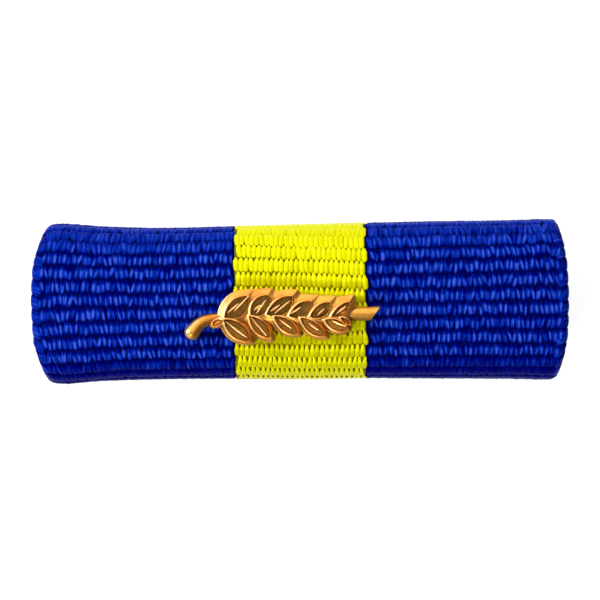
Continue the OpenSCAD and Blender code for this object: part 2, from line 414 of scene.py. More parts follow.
@dataclass(frozen=True)
class DrawnMetal:
    """Rolled or drawn plated steel, brushed along the bar: fine straight scratches."""

    name: str
    bright: str
    dull: str
    roughness: float
    brush: float = 0.06  # mm between the scratches, drawn coarse enough to show
    broken: float = 0.15  # breaks along a scratch, per mm
    relief: float = 0.006  # mm
    clouds: float = 0.35  # dull clouds in the plating, per mm
    # How far the scratches change the roughness each way
    smoother: float = 0.08
    rougher: float = 0.12

    def build(self) -> bpy.types.Material:
        """Makes the plated metal's material.

        Returns:
            The material.
        """
        material, tree = new_material(self.name)
        place = add_node(tree, "TexCoord")
        drawn = add_node(
            tree,
            "Mapping",
            {"Scale": (self.broken / MM, 1 / (self.brush * MM), 1 / (self.brush * MM))},
            {"Vector": place.outputs["Object"]},
        )
        scratch = add_node(
            tree,
            "TexNoise",
            {"Scale": 1.0, "Detail": 3.0, "Roughness": 0.65},
            {"Vector": drawn.outputs[0]},
        )
        cloud = add_node(
            tree,
            "TexNoise",
            {"Scale": self.clouds / MM, "Detail": 3.0},
            {"Vector": place.outputs["Object"]},
        )
        colour = add_node(tree, "ValToRGB", {}, {"Fac": cloud.outputs["Fac"]})
        colour_ramp(colour, ((0.35, self.dull), (0.62, self.bright)))
        rough = add_node(
            tree,
            "MapRange",
            {3: self.roughness - self.smoother, 4: self.roughness + self.rougher},
            {0: scratch.outputs["Fac"]},
        )
        bump = add_node(
            tree,
            "Bump",
            {"Strength": 0.5, "Distance": self.relief * MM},
            {"Height": scratch.outputs["Fac"]},
        )
        shader = add_node(
            tree,
            "BsdfPrincipled",
            {"Metallic": 1.0},
            {
                "Base Color": colour.outputs["Color"],
                "Roughness": rough.outputs[0],
                "Normal": bump.outputs[0],
            },
        )
        add_node(tree, "OutputMaterial", {}, {"Surface": shader.outputs[0]})
        return material


@dataclass(frozen=True)
class LightTable:
    """Matt white acrylic of a photo table, faintly lit from under so that it stays pale."""

    name: str = "white_acrylic"
    shade: str = "#8E8E8E"
    light: str = "#929292"
    glow: float = 0.84
    grain: float = 0.9  # of the matt skin, per mm

    def build(self) -> bpy.types.Material:
        """Makes the floor's material.

        Returns:
            The material.
        """
        material, tree = new_material(self.name)
        place = add_node(tree, "TexCoord")
        grain = add_node(
            tree,
            "TexNoise",
            {"Scale": self.grain / MM},
            {"Vector": place.outputs["Object"]},
        )
        ramp = add_node(tree, "ValToRGB", {}, {"Fac": grain.outputs["Fac"]})
        colour_ramp(ramp, ((0.3, self.shade), (0.7, self.light)))
        shader = add_node(
            tree,
            "BsdfPrincipled",
            {
                "Roughness": 0.9,
                "Specular IOR Level": 0.1,
                "Emission Color": linear(WHITE),
                "Emission Strength": self.glow,
            },
            {"Base Color": ramp.outputs["Color"]},
        )
        add_node(tree, "OutputMaterial", {}, {"Surface": shader.outputs[0]})
        return material


# Meshes


def add_object(name: str, data: bpy.types.ID) -> bpy.types.Object:
    """Makes an object and puts it in the scene.

    Args:
        name: The object's name.
        data: Its mesh, light or camera.

    Returns:
        The new object.
    """
    thing = bpy.data.objects.new(name, data)
    bpy.context.scene.collection.objects.link(thing)
    return thing


def finished_mesh(name: str, work: bmesh.types.BMesh) -> bpy.types.Mesh:
    """Turns a work mesh to a finished one.

    Args:
        name: The mesh's name.
        work: The work mesh, which is freed.

    Returns:
        The new mesh.
    """
    mesh = bpy.data.meshes.new(name)
    work.to_mesh(mesh)
    work.free()
    return mesh


def kind_in(items: list, kind: type) -> list:
    """Picks the vertices or the edges out of what an operator made."""
    return [item for item in items if isinstance(item, kind)]


def make_piece(
    name: str, mesh: bpy.types.Mesh, material: bpy.types.Material
) -> bpy.types.Object:
    """Makes a smooth-shaded object that rides on the part's body.

    Args:
        name: The piece's plain name.
        mesh: Its mesh, in the part's frame.
        material: Its finish.

    Returns:
        The new object.
    """
    mesh.materials.append(material)
    mesh.shade_smooth()
    piece = add_object(name, mesh)
    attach(piece, ROOT)
    return piece


def get_points(mesh: bpy.types.Mesh) -> Numbers:
    """Reads a mesh's vertices.

    Args:
        mesh: The mesh.

    Returns:
        Rows of three numbers.
    """
    points = np.zeros(len(mesh.vertices) * 3, np.float32)
    mesh.vertices.foreach_get("co", points)
    return points.reshape(-1, 3).astype(float)


def set_points(mesh: bpy.types.Mesh, points: Numbers) -> None:
    """Writes a mesh's vertices from rows of three numbers."""
    mesh.vertices.foreach_set("co", points.astype(np.float32).ravel())
    mesh.update()


def set_attribute(mesh: bpy.types.Mesh, name: str, values: Numbers) -> None:
    """Adds an attribute to a mesh's vertices.

    Args:
        mesh: The mesh.
        name: The attribute's name.
        values: One number or one row of three numbers for each vertex.
    """
    vector = values.ndim == 2
    layer = mesh.attributes.new(name, "FLOAT_VECTOR" if vector else "FLOAT", "POINT")
    layer.data.foreach_set("vector" if vector else "value", values.astype(np.float32).ravel())


def as_rows(*columns: Numbers) -> Numbers:
    """Turns columns that broadcast together to one row of numbers for each of their places."""
    return np.stack([column.ravel() for column in np.broadcast_arrays(*columns)], axis=1)


def smooth_step(first: float, last: float, at: Numbers) -> Numbers:
    """Rises smoothly from nought at the first place to one at the last."""
    share = np.clip((at - first) / (last - first), 0, 1)
    return share * share * (3 - 2 * share)


def repeated_grain(around: int, rings: int, count: int) -> tuple[bpy.types.Mesh, Numbers, Numbers]:
    """Makes many copies of one closed yarn grain in one mesh, all still in the same place.

    Args:
        around: Facets round the yarn.
        rings: Facets along it, from tip to tip.
        count: How many grains there are.

    Returns:
        The mesh, and for each vertex of one grain its turn from the grain's top in radians
        and its place along the grain from -1 to 1.
    """
    work = bmesh.new()
    bmesh.ops.create_uvsphere(work, u_segments=around, v_segments=rings, radius=1.0)
    single = finished_mesh("grain", work)
    shape = get_points(single)
    # The top is the sphere's -Y side, so that its faces still point outwards on the ribbon
    turn = np.arctan2(shape[:, 0], -shape[:, 1])
    along = 1 - 2 * np.arccos(np.clip(shape[:, 2], -1, 1)) / math.pi
    holder = add_object("grain_copies", single)
    copies = holder.modifiers.new("copies", "ARRAY")
    copies.count = count
    copies.use_relative_offset = False
    copies.use_constant_offset = True
    copies.constant_offset_displace = (0.0, 0.0, 0.0)
    graph = bpy.context.evaluated_depsgraph_get()
    mesh = bpy.data.meshes.new_from_object(holder.evaluated_get(graph))
    bpy.data.objects.remove(holder)
    return mesh, turn, along


# The ribbon's form


@dataclass(frozen=True)
class RibbonForm:
    """Outer form of the wrapped ribbon, with the sizes of the CAD solid, in millimetres."""

    length: float = 35.0
    height: float = 10.1
    wall: float = 1.0
    front_fold: float = 2.6
    back_fold: float = 1.4
    tail: float = 1.05
    stripe: float = 8.75
    end_bow: float = 0.45
    stand_off: float = 2.2
    ribs_each_way: int = 11
    # Place as a share of half the length, then the upper and the lower half height as shares
    waist: tuple[Row, ...] = (
        (-1.00, 1.044, 1.044),
        (-0.90, 1.050, 1.058),
        (-0.78, 1.012, 1.026),
        (-0.66, 0.994, 1.012),
        (-0.56, 0.982, 1.008),
        (-0.42, 0.984, 1.004),
        (-0.26, 0.998, 1.006),
        (0.00, 1.012, 1.018),
        (0.30, 1.028, 1.014),
        (0.50, 1.038, 1.026),
        (0.66, 1.040, 1.032),
        (0.80, 1.044, 1.038),
        (0.92, 1.054, 1.052),
        (1.00, 1.050, 1.052),
    )
    # Corner radius above and below at the left and the right end, as shares of the front fold,
    # and the end's bow as a share of end_bow
    corners: tuple[Row, Row] = ((0.40, 0.42, 1.35), (0.24, 0.34, 1.00))
    # Skew of the ribs on the front: their shift at the bar's middle, its growth for each
    # millimetre to the right, and the places along the ribbon between which it fades out
    skew: float = -0.17
    skew_growth: float = 0.0082
    skew_fade: Row = (5.8, 9.2)
    # In the middle stripe the ribs slope the other way: how far they climb from its right edge
    # to its left one, how much more above and less below, the height where that is reached,
    # and how far past its edges the stripe's own slope holds
    slope: float = 0.355
    slope_growth: float = 0.125
    slope_height: float = 3.0
    stripe_over: float = 0.04
    # Waviness: its size, its radians for each millimetre across and for each rib, and its start
    waves: tuple[Row, ...] = ((0.030, 0.36, 0.55, 0.4), (0.018, 0.95, -0.8, 2.1))

    @property
    def front(self) -> float:
        """Level of the rib crests on the front."""
        return self.stand_off + self.front_fold + self.back_fold

    @property
    def half_wrap(self) -> float:
        """Length along the outside from the middle of the front to a cut end."""
        arcs = (self.front_fold + self.back_fold) * math.pi / 2
        return self.height / 2 - self.front_fold + arcs + self.tail

    @property
    def pitch(self) -> float:
        """Distance from one rib to the next."""
        return self.half_wrap / self.ribs_each_way

    def section(self, along: Numbers, depth: Numbers) -> tuple[Numbers, Numbers]:
        """Half of the ribbon's section.

        Args:
            along: Places along the outside, from nought at the middle of the front.
            depth: Depths under the rib crests.

        Returns:
            Heights above the bar's middle and levels above the floor.
        """
        flat = self.height / 2 - self.front_fold
        past_flat = along - flat
        past_front = past_flat - self.front_fold * math.pi / 2
        past_back = past_front - self.back_fold * math.pi / 2
        centre = self.front - self.front_fold
        back_y = self.height / 2 - self.back_fold
        front_turn = past_flat / self.front_fold
        back_turn = past_front / self.back_fold
        where = [past_flat < 0, past_front < 0, past_back < 0]
        y = np.select(
            where,
            [
                along,
                flat + (self.front_fold - depth) * np.sin(front_turn),
                back_y + (self.back_fold - depth) * np.cos(back_turn),
            ],
            back_y - past_back,
        )
        z = np.select(
            where,
            [
                self.front - depth,
                centre + (self.front_fold - depth) * np.cos(front_turn),
                centre - (self.back_fold - depth) * np.sin(back_turn),
            ],
            centre - self.back_fold + depth,
        )
        return y, z

    def corner_drop(self, place: Numbers, above: Numbers) -> Numbers:
        """How far the rounded corners draw the long edges in.

        Args:
            place: Places along the bar as shares of half its length.
            above: Whether each point lies in the upper half.

        Returns:
            The drop of each point, in millimetres.
        """
        (left_up, left_down, _), (right_up, right_down, _) = self.corners
        share = np.where(
            place < 0, np.where(above, left_up, left_down), np.where(above, right_up, right_down)
        )
        corner = share * self.front_fold
        inside = np.clip(corner - (1 - np.abs(place)) * self.length / 2, 0, corner)
        return corner - np.sqrt(corner**2 - inside**2)

    def points(self, across: Numbers, along: Numbers, depth: Numbers) -> Numbers:
        """Lays points of the flat ribbon on the wrapped one.

        Args:
            across: Places across the ribbon's width, which runs along the bar.
            along: Places along the ribbon, from the middle of the front.
            depth: Depths under the rib crests.

        Returns:
            Rows of three numbers, in metres.
        """
        across, along, depth = np.broadcast_arrays(across, along, depth)
        along = np.clip(along, -self.half_wrap, self.half_wrap)
        place = across / (self.length / 2)
        above = along > 0
        table = np.array(self.waist)
        waist = np.where(
            above,
            np.interp(place, table[:, 0], table[:, 1]),
            np.interp(place, table[:, 0], table[:, 2]),
        )
        y, z = self.section(np.abs(along), depth)
        crest, _ = self.section(np.abs(along), np.zeros_like(depth))
        flat = self.height / 2 - self.front_fold
        edge_share = np.maximum(0, crest - flat) / self.front_fold
        end_share = np.where(place < 0, self.corners[0][2], self.corners[1][2])
        bow = self.end_bow * end_share * (2 * crest / self.height) ** 2
        side = np.sign(along)
        x = place * (self.length / 2 - bow)
        y = side * (y * waist - edge_share * self.corner_drop(place, above))
        return as_rows(x, y, z) * MM

    def wander(self, across: Numbers, along: Numbers) -> Numbers:
        """The ribs' slight waviness and skew.

        Args:
            across: Places across the ribbon's width.
            along: Places along the ribbon.

        Returns:
            Each place's shift along the ribbon, in millimetres.
        """
        rib = along / self.pitch
        front = 1 - smooth_step(*self.skew_fade, np.abs(along))
        skew = (self.skew + self.skew_growth * across) * front
        slope = self.slope + self.slope_growth * np.clip(along / self.slope_height, -1, 1)
        middle = np.abs(across) < self.stripe / 2 + self.stripe_over
        skew = skew + middle * slope * (0.5 - across / self.stripe) * front
        wave = [size * np.sin(wide * across + up * rib + at) for size, wide, up, at in self.waves]
        return sum(wave) + skew


# Sub-assemblies


@dataclass
class WarpStripe:
    """One colour of the warp, laid as floats that leap each rib and dive beside their fellows."""

    name: str
    yarn: FilamentYarn
    first: float
    spacing: float
    ends: int
    form: RibbonForm
    seed: int
    edge_room: float = 0.52
    yarn_rise: float = 0.075
    yarn_under: float = 0.1
    # Radius of the arch as a share of the pitch, and its turn to each side in degrees
    arch_share: float = 0.92
    arch_turn: float = 37.0
    # Width as a share of the spacing, how bluntly the ends close, and what height they keep
    fullness: float = 1.14
    tip_fade: float = 3.2
    tip_curve: float = 0.55
    tip_height: float = 0.35
    # Where a float's painted shade starts and ends on its way from the crest to the groove, as
    # shares of half the pitch
    lit_to: float = 0.3
    dark_from: float = 0.82
    # How close to its sides a float keeps its painted highlight, and what is left of its tone
    # there as painted shade between the floats
    side_fade: float = 0.7
    side_tone: float = 0.18
    # How far the painted highlight's brightest place lies above the crest, as a share of the pitch
    streak_up: float = -0.08
    # Between the upper ends slots open: share of the width lost, and where the slots start on
    # the highest and the lowest floats
    slot_width: float = 0.0
    slot_high: float = 0.7
    slot_low: float = 0.0
    # Share of the width that the highest floats lose at their lower ends, and where
    notch: float = 0.0
    notch_span: Row = (0.45, 0.8)
    # At the bottom of the bar the lower half of a float is darker with painted shade and its upper
    # half brighter with a painted highlight
    shaded: float = 0.0
    teeth: float = 0.0
    teeth_span: Row = (-0.2, 0.3)
    # Heights between which the cloth is pulled flat over a fold, what is left there of its
    # relief, and how much flatter and longer the floats are there
    fold_from: float = 3.4
    fold_to: float = 4.4
    fold_relief: float = 0.45
    fold_press: float = 0.6
    fold_cover: float = 0.12
    # The crest's tone, the tone painted on the upper fold, lighter as if lit from above, and on
    # the lower one, darker as painted shade, how far a fold takes its tone on, and how even that
    # is across a float
    lit_tone: float = 0.6
    upper_fold_light: float = 0.28
    lower_fold_shade: float = -0.1
    fold_tone: float = 0.85
    fold_even: float = 0.75
    # How uneven the floats are: width, arch and rise as shares, lean and place in millimetres
    unevenness: float = 1.0
    width_play: float = 0.06
    arch_play: float = 0.02
    rise_play: float = 0.08
    lean_play: float = 0.08
    place_play: float = 0.015
    # How uneven their tone is: its gain as a share, its level, and the place of its peak
    gain_play: float = 0.12
    tone_play: float = 0.03
    peak_play: float = 0.05
    around: int = 8
    rings: int = 9

    def places(self) -> tuple[Numbers, Numbers, Numbers]:
        """Where the floats lie.

        Returns:
            Places across the ribbon, the crests they leap, and eight chances for every float.
        """
        ribs = np.arange(-self.form.ribs_each_way, self.form.ribs_each_way)
        rows, crests = [], []
        for rib in ribs:
            step = abs(self.spacing) / 2 if rib % 2 else 0.0
            across = self.first + (np.arange(self.ends) + 0.5) * self.spacing + step
            across = across[np.abs(across) < self.form.length / 2 - self.edge_room]
            rows.append(across)
            crests.append(np.full(len(across), (rib + 0.5) * self.form.pitch))
        across, crest = np.concatenate(rows), np.concatenate(crests)
        chance = np.random.default_rng(self.seed).normal(size=(len(across), 8)).clip(-2.2, 2.2)
        return across[:, None], crest[:, None], (chance * self.unevenness).T[:, :, None]

    def tension(self, crest: Numbers) -> Numbers:
        """How flat a fold pulls the floats that leap each crest, from nought to one."""
        height, _ = self.form.section(np.abs(crest), np.zeros_like(crest))
        return smooth_step(self.fold_from, self.fold_to, height)

    def lowness(self, crest: Numbers) -> Numbers:
        """How low on the front each crest lies, from nought at its top to one."""
        return np.clip(0.5 - crest / (2 * self.fold_to), 0, 1)

    def slots(self, crest: Numbers, share: Numbers) -> Numbers:
        """Share of its width that a float loses to the slots beside its ends.

        Args:
            crest: The crest that each float leaps.
            share: Places along a float, from -1 to 1.

        Returns:
            The lost share, with a row for each float.
        """
        low = self.lowness(crest)
        start = self.slot_high + (self.slot_low - self.slot_high) * low
        upper = self.slot_width * smooth_step(start, 0.5 + 0.5 * start, share)
        return upper + self.notch * (1 - low) * smooth_step(*self.notch_span, -share)

    def tones(
        self, crest: Numbers, share: Numbers, open_turn: Numbers, run: Numbers, chance: Numbers
    ) -> Numbers:
        """How bright the floats are, with their painted shade and highlights, for the places along
        the yarn's stops.

        Args:
            crest: The crest that each float leaps.
            share: Places along a float, from -1 to 1.
            open_turn: Turns round a float from its top, in radians.
            run: Distances along the ribbon from the crest.
            chance: The floats' chances.

        Returns:
            The tone of each vertex, with a row for each float.
        """
        gain, tint, place = chance[1], chance[3], chance[5]
        ridge = 1 - (1 - self.side_tone) * np.abs(np.sin(open_turn)) ** self.side_fade
        off = 2 * np.abs(run / self.form.pitch - (self.streak_up + self.peak_play * place))
        reach = 1 - smooth_step(self.lit_to, self.dark_from, off)
        tone = self.lit_tone * ridge * reach * (1 + self.gain_play * gain) + self.tone_play * tint
        low = self.lowness(crest)
        upper = low * smooth_step(*self.teeth_span, share)
        tone = tone + (self.shaded + self.teeth) * upper - self.shaded * low
        # Over the folds the tone is painted lighter above and darker below, as light and shade
        calm = np.where(crest > 0, self.upper_fold_light, self.lower_fold_shade)
        calm = calm * (self.fold_even + (1 - self.fold_even) * ridge)
        return tone + (calm - tone) * self.fold_tone * self.tension(crest)

    def build(self) -> bpy.types.Object:
        """Makes the stripe's floats as one piece.

        Returns:
            The piece.
        """
        across, crest, chance = self.places()
        mesh, turn, share = repeated_grain(self.around, self.rings, len(across))
        wide, long, lean, side, high, place, strand, dye = chance
        # Six facets cover the top of the yarn and two close its hidden underside
        open_turn = np.where(np.abs(turn) > math.radians(150), math.pi, turn * 2 / 3)
        waist = (1 - np.abs(share) ** self.tip_fade) ** self.tip_curve
        swing = np.radians(self.arch_turn) * share
        pulled = self.tension(crest)
        half = abs(self.spacing) / 2 * self.fullness * (1 + self.width_play * wide)
        arch = self.arch_share * self.form.pitch * (1 + self.arch_play * long)
        run = arch * np.sin(swing)
        lateral = np.sin(open_turn) * waist * half * (1 - self.slots(crest, share))
        rise = np.where(
            np.cos(open_turn) > -0.5,
            np.cos(open_turn) * self.yarn_rise * (1 - self.fold_press * pulled),
            -self.yarn_under,
        )
        loft = self.yarn_rise * (1 + self.rise_play * high)
        dive = arch * (1 - np.cos(swing)) * (1 - (1 - self.fold_relief) * pulled)
        depth = loft + dive - rise * (self.tip_height + (1 - self.tip_height) * waist)
        x = across + self.lean_play * lean * share + self.place_play * side + lateral
        # Over a fold the floats are longer, and cover the grooves
        y = crest + run * (1 + self.fold_cover * pulled) + self.place_play * place
        y = y + self.form.wander(x, crest)
        set_points(mesh, self.form.points(x, y, np.maximum(depth, 0.0)))
        # The chances give every float another stretch of the yarn's noise
        set_attribute(mesh, "fibre", as_rows(lateral + 7.3 * strand, y, 5.1 * dye))
        tone = self.tones(crest, share, open_turn, run, chance)
        set_attribute(mesh, "tone", tone.ravel())
        return make_piece(self.name, mesh, self.yarn.build())


@dataclass
class Selvedge:
    """Weft loops that turn round one end of the ribbon, one slanted loop to a rib."""

    name: str
    side: Side
    yarn: FilamentYarn
    form: RibbonForm
    seed: int
    # Radii of a loop along the bar and through the wall, and its turn to each side in degrees
    reach: float = 0.56
    loop_depth: float = 0.38
    turn: float = 100.0
    half_width: float = 0.47
    half_thick: float = 0.10
    tip_fade: float = 4.0
    # How far a loop leans from its middle to its end, and how far up it lies
    slant: float = 0.34
    lift: float = 0.06
    # How uneven the loops are: width, reach and slant as shares, places in millimetres, and tone
    width_play: float = 0.05
    reach_play: float = 0.08
    slant_play: float = 0.2
    place_play: float = 0.02
    tone_play: float = 0.04
    # The tone at a loop's edges, as painted shade, how much brighter its middle is as a painted
    # highlight, and how wide that is
    edge_tone: float = 0.05
    ridge_tone: float = 0.2
    ridge_fade: float = 3.0
    around: int = 10
    rings: int = 16

    def build(self) -> bpy.types.Object:
        """Makes the loops of one end as one piece.

        Returns:
            The piece.
        """
        ribs = np.arange(-self.form.ribs_each_way, self.form.ribs_each_way)
        crest = ((ribs + 0.5) * self.form.pitch)[:, None]
        chance = np.random.default_rng(self.seed).normal(size=(len(crest), 6)).clip(-2, 2)
        wide, long, sunk, lean, place, strand = chance.T[:, :, None]
        mesh, turn, share = repeated_grain(self.around, self.rings, len(crest))
        swing = np.radians(self.turn) * share
        waist = np.sqrt(1 - np.abs(share) ** self.tip_fade)
        radial = np.cos(turn) * waist * self.half_thick
        lateral = np.sin(turn) * waist * self.half_width * (1 + self.width_play * wide)
        reach = self.reach * (1 + self.reach_play * long)
        out = self.form.length / 2 - self.half_thick - self.place_play * np.abs(sunk)
        across = (out - reach * (1 - np.cos(swing)) + radial * np.cos(swing)) * self.side.value
        deep = self.form.wall / 2 - (self.loop_depth + radial) * np.sin(swing)
        slant = self.slant * (1 + self.slant_play * lean)
        along = crest + self.lift - slant * share + lateral + self.place_play * place
        along = along + self.form.wander(across, crest)
        set_points(mesh, self.form.points(across, along, np.clip(deep, 0.0, self.form.wall)))
        if self.side is Side.LEFT:
            mesh.flip_normals()
        # The chances give every loop another stretch of the yarn's noise
        set_attribute(mesh, "fibre", as_rows(lateral + 3.7 * strand, share, strand))
        ridge = 1 - np.abs(np.sin(turn)) ** self.ridge_fade
        tone = self.edge_tone + self.ridge_tone * ridge + self.tone_play * wide
        set_attribute(mesh, "tone", tone.ravel())
        return make_piece(self.name, mesh, self.yarn.build())


@dataclass
class WovenRibbon:
    """The ribbon: a ribbed ground sheet under blue, yellow and blue warp floats."""

    form: RibbonForm
    blue: FilamentYarn
    yellow: FilamentYarn
    ground: GroundWeave
    # Length of the section from tail to tail, at the middle of the wall
    flat_length: float = 16.4
    blue_spacing: float = 0.33
    yellow_ends: int = 26
    # Every other row starts half a spacing to the right, and the stripe is set back for it
    set_back: float = 0.042
    # Width of the line of ground, painted dark as shade, that shows between the stripes
    stripe_line: float = 0.1
    end_room: float = 0.2
    crest_depth: float = 0.15
    groove_depth: float = 0.03
    inner_relief: float = 0.05
    # How much closer the ground's columns lie at the ends of the bar
    crowding: float = 0.35
    rib_steps: int = 6
    length_steps: int = 70

    def build_ground(self) -> bpy.types.Object:
        """Makes the closed sheet that carries the floats.

        Returns:
            The piece.
        """
        work = bmesh.new()
        rows = 2 * self.form.ribs_each_way * self.rib_steps
        bmesh.ops.create_grid(work, x_segments=self.length_steps, y_segments=rows, size=1.0)
        outside = list(work.faces)
        made = bmesh.ops.extrude_face_region(work, geom=outside, use_keep_orig=True)["geom"]
        for vert in kind_in(made, bmesh.types.BMVert):
            vert.co.z = 1.0
        bmesh.ops.recalc_face_normals(work, faces=work.faces[:])
        mesh = finished_mesh("ribbon_ground", work)
        share = get_points(mesh)
        crowded = np.sin(share[:, 0] * math.pi / 2)
        across = crowded * self.crowding + share[:, 0] * (1 - self.crowding)
        across = across * (self.form.length / 2 - self.end_room)
        along = share[:, 1] * self.form.half_wrap
        phase = (along - self.form.wander(across, along)) / self.form.pitch
        groove = np.cos(math.pi * phase) ** 2
        outer = self.crest_depth + self.groove_depth * groove
        inner = self.form.wall - self.inner_relief * groove
        # The extruded layer is the outer one
        depth = np.where(share[:, 2] > 0.5, outer, inner)
        set_points(mesh, self.form.points(across, along, depth))
        cloth = self.ground.build(self.form.stripe - 3 * self.stripe_line)
        return make_piece("ribbon_ground", mesh, cloth)

    def build(self) -> list[bpy.types.Object]:
        """Makes the whole ribbon.

        Returns:
            The ground first, then the pieces on it.
        """
        form, line, spacing = self.form, self.stripe_line, self.blue_spacing
        left, right = -form.stripe / 2 - self.set_back, form.stripe / 2 - self.set_back
        blue = {
            "yarn": self.blue,
            "form": form,
            "ends": math.ceil((form.length - form.stripe) / 2 / spacing),
            "shaded": 0.1,
        }
        stripes = [
            WarpStripe("ribbon_blue_left", first=left - line, spacing=-spacing, seed=11, **blue),
            WarpStripe(
                "ribbon_yellow_stripe",
                yarn=self.yellow,
                first=left + line,
                spacing=(form.stripe - 2 * line) / self.yellow_ends,
                ends=self.yellow_ends,
                form=form,
                seed=12,
                yarn_rise=0.06,
                arch_share=1.5,
                arch_turn=24.0,
                fullness=1.16,
                tip_fade=5.0,
                lit_to=0.9,
                dark_from=1.6,
                side_fade=3.0,
                side_tone=0.8,
                streak_up=0.0,
                slot_width=0.44,
                slot_high=0.5,
                slot_low=-0.15,
                notch=0.16,
                shaded=0.3,
                teeth=0.1,
                upper_fold_light=0.5,
                lower_fold_shade=0.4,
                unevenness=0.45,
            ),
            WarpStripe("ribbon_blue_right", first=right + line, spacing=spacing, seed=13, **blue),
        ]
        edges = [
            Selvedge("selvedge_left", Side.LEFT, self.blue, form, seed=21),
            Selvedge("selvedge_right", Side.RIGHT, self.blue, form, seed=22),
        ]
        ground = self.build_ground()
        pieces = [part.build() for part in (*stripes, *edges)]
        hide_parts("ribbon")
        return [ground, *pieces]


@dataclass
class LeafSprig:
    """Cast sprig of overlapping leaves with raised rims, sunk fields and veins."""

    finish: CastGilt
    length: float = 12.9
    middle_x: float = -1.24
    middle_y: float = -0.9
    back: float = 6.25
    # Heights of the flanks at their feet, at the tip and the base of a leaf, and at their tops
    flank_low: float = 0.74
    flank_base: float = 0.44
    shoulder: float = 0.96
    flank_curve: float = 1.3
    # The upper leaves share one band of flank. Over the stem it sinks and takes a painted
    # highlight between these shares of the length, and between the leaves it is dark between these
    # of its width
    band_blend: float = 0.17
    band_end: float = -0.32
    band_full: float = -0.24
    pale_to: float = -0.21
    band_highlight: float = 0.8
    gap_span: Row = (0.75, 1.2)
    gap_dark: float = 0.5
    # Painted shade on the lower leaves' flanks, which face down the bar, and how much darker their
    # feet are
    lower_flank_shade: float = 0.32
    foot_dark: float = 0.34
    field_rise: float = 0.70
    field_swell: float = 0.05
    swell_width: float = 0.3
    rim_rise: float = 1.04
    rim_width: float = 0.19
    # How much broader a rim with a painted highlight is, how far it rounds off and drops at its
    # outer edge, and where it starts to fall to the field, the last three as shares
    rim_spread: float = 0.45
    rim_round: float = 0.55
    rim_drop: float = 0.08
    rim_fall: float = 0.45
    # How pale the painted highlight is on the rims that face the stem, and its share on the far
    # rims
    rim_highlight: float = 0.9
    far_rim_highlight: float = 0.3
    vein_rise: float = 0.34
    vein_half: float = 0.11
    vein_end: float = 0.55
    # Painted highlight on the veins
    vein_highlight: float = 0.8
    # Shares of a leaf's length between which its base turns to its tip
    leaf_span: Row = (0.15, 0.8)
    # The grid's size, its extent and its middle as shares of the length, how many of its cells
    # it keeps outside the outline, and the steps that draw its border in
    grid: float = 0.032
    grid_length: float = 0.78
    grid_height: float = 0.34
    grid_middle: float = 0.01
    grid_outside: float = 0.6
    grid_steps: int = 3
    sharp_angle: float = 55.0
    # Base x and y, tip x and y, left and right bulge and the flank's width as shares of the
    # length about the sprig's middle, then how dark the sunk field is
    leaves: tuple[Row, ...] = (
        (-0.293, -0.008, -0.160, 0.106, 0.040, 0.064, 0.027, 0.95),
        (-0.162, 0.004, -0.060, 0.110, 0.038, 0.062, 0.029, 0.95),
        (-0.083, 0.004, 0.064, 0.104, 0.034, 0.060, 0.028, 0.95),
        (0.030, -0.005, 0.160, 0.076, 0.032, 0.052, 0.027, 0.95),
        (0.134, -0.009, 0.254, 0.072, 0.028, 0.050, 0.026, 0.95),
        (0.240, -0.009, 0.348, 0.074, 0.020, 0.044, 0.028, 0.85),
        (0.288, -0.005, 0.354, -0.050, 0.020, 0.020, 0.004, 0.6),
        (0.207, -0.020, 0.343, -0.073, 0.032, 0.038, 0.010, 0.65),
        (0.086, -0.003, 0.230, -0.111, 0.034, 0.040, 0.010, 0.7),
        (-0.045, 0.003, 0.093, -0.096, 0.038, 0.040, 0.011, 0.75),
        (-0.170, 0.008, -0.047, -0.118, 0.040, 0.040, 0.014, 0.75),
        (-0.298, -0.010, -0.146, -0.131, 0.046, 0.046, 0.013, 0.75),
        (-0.280, -0.014, -0.352, -0.052, 0.020, 0.026, 0.006, 0.2),
    )
    # Veins: number of the leaf, then both ends
    veins: tuple[Row, ...] = (
        (0, -0.264, 0.018, -0.213, 0.061),
        (0, -0.231, 0.026, -0.160, 0.099),
        (1, -0.133, 0.030, -0.104, 0.054),
        (1, -0.120, 0.014, -0.075, 0.079),
        (2, -0.050, 0.023, -0.005, 0.054),
        (2, -0.030, 0.012, 0.046, 0.073),
        (3, 0.054, 0.011, 0.099, 0.040),
        (4, 0.184, 0.001, 0.219, 0.033),
        (5, 0.281, 0.009, 0.325, 0.044),
        (7, 0.255, -0.028, 0.322, -0.057),
        (8, 0.137, -0.038, 0.189, -0.075),
        (9, -0.006, -0.021, 0.053, -0.063),
        (10, -0.148, -0.010, -0.074, -0.099),
        (11, -0.275, -0.029, -0.174, -0.107),
    )
    # Rods: places as shares of the length, then the level and the radius in millimetres
    stem: tuple[Row, ...] = (
        (-0.446, -0.080, 0.46, 0.50),
        (-0.430, -0.060, 0.46, 0.47),
        (-0.412, -0.040, 0.45, 0.41),
        (-0.387, -0.024, 0.46, 0.39),
        (-0.355, -0.014, 0.47, 0.36),
        (-0.318, -0.009, 0.48, 0.33),
        (-0.290, -0.008, 0.44, 0.26),
        (-0.240, -0.006, 0.38, 0.22),
    )
    spine: tuple[Row, ...] = (
        (-0.290, -0.006, 0.40, 0.24),
        (-0.100, -0.002, 0.40, 0.24),
        (0.120, -0.002, 0.40, 0.24),
        (0.340, 0.008, 0.42, 0.26),
    )
    stub: tuple[Row, ...] = (
        (0.300, 0.006, 0.46, 0.36),
        (0.360, 0.006, 0.46, 0.42),
        (0.420, 0.006, 0.46, 0.46),
        (0.470, 0.008, 0.46, 0.47),
        (0.560, 0.010, 0.46, 0.47),
    )
    # A point of the stub's slanted cut as shares of the length, and the slant in degrees
    stub_cut: Row = (0.494, 0.036)
    stub_slant: float = 35.0
